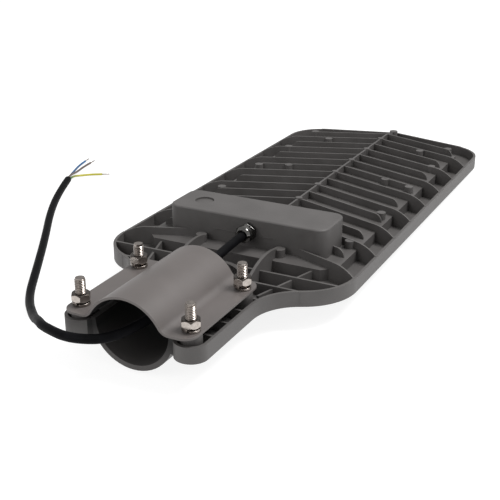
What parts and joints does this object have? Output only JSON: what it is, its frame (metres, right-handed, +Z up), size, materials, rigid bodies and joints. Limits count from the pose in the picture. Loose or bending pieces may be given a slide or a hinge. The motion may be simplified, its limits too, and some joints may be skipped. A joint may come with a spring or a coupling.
{
  "type": "street light head",
  "caption": "Finned cast street light head with a split pole clamp, a raised driver box, a lens panel on its underside and a free mains cable.",
  "frame": {"origin": "on the axis of the pole clamp, in the plane of the clamp's mouth", "axes": "+X from the mouth to the far tip, +Y to the left seen from the mouth, +Z up, away from the lamps"},
  "size_m": [0.5852, 0.3997, 0.06],
  "materials": {
    "casting_paint": "satin",
    "saddle_paint": "satin",
    "fastener_steel": "satin",
    "gland_plate": "gloss",
    "seal_rubber": "matte",
    "gasket_rubber": "matte",
    "cable_jacket": "matte",
    "core_brown": "satin",
    "core_blue": "satin",
    "core_earth": "satin",
    "core_copper": "satin",
    "board_white": "satin",
    "chip_phosphor": "gloss",
    "plug_plastic": "satin",
    "lead_jacket": "satin",
    "lens_clear": "gloss",
    "driver_shell": "satin",
    "cover_paint": "satin"
  },
  "bodies": {
    "root": {"housing": "casting_paint", "clamp_saddle": "saddle_paint", "clamp_bolts": "fastener_steel", "clamp_nuts": "fastener_steel", "spring_washers": "fastener_steel", "gland_body": "gland_plate", "gland_o_ring": "seal_rubber", "gland_locknut": "gland_plate", "gland_cap_nut": "gland_plate", "gland_seal": "seal_rubber", "mains_cable": "cable_jacket", "core_brown": "core_brown", "core_blue": "core_blue", "core_earth": "core_earth", "core_tips": "core_copper", "led_board": "board_white", "led_chips": "chip_phosphor", "board_screws": "fastener_steel", "board_connector": "plug_plastic", "led_lead": "lead_jacket", "lead_grommet": "seal_rubber", "lens_panel": "lens_clear", "lens_gasket": "gasket_rubber", "lens_screws": "fastener_steel", "driver_case": "driver_shell", "driver_screws": "fastener_steel", "cover_plate": "cover_paint", "cover_gasket": "gasket_rubber", "cover_screws": "fastener_steel"}
  },
  "joints": []
}
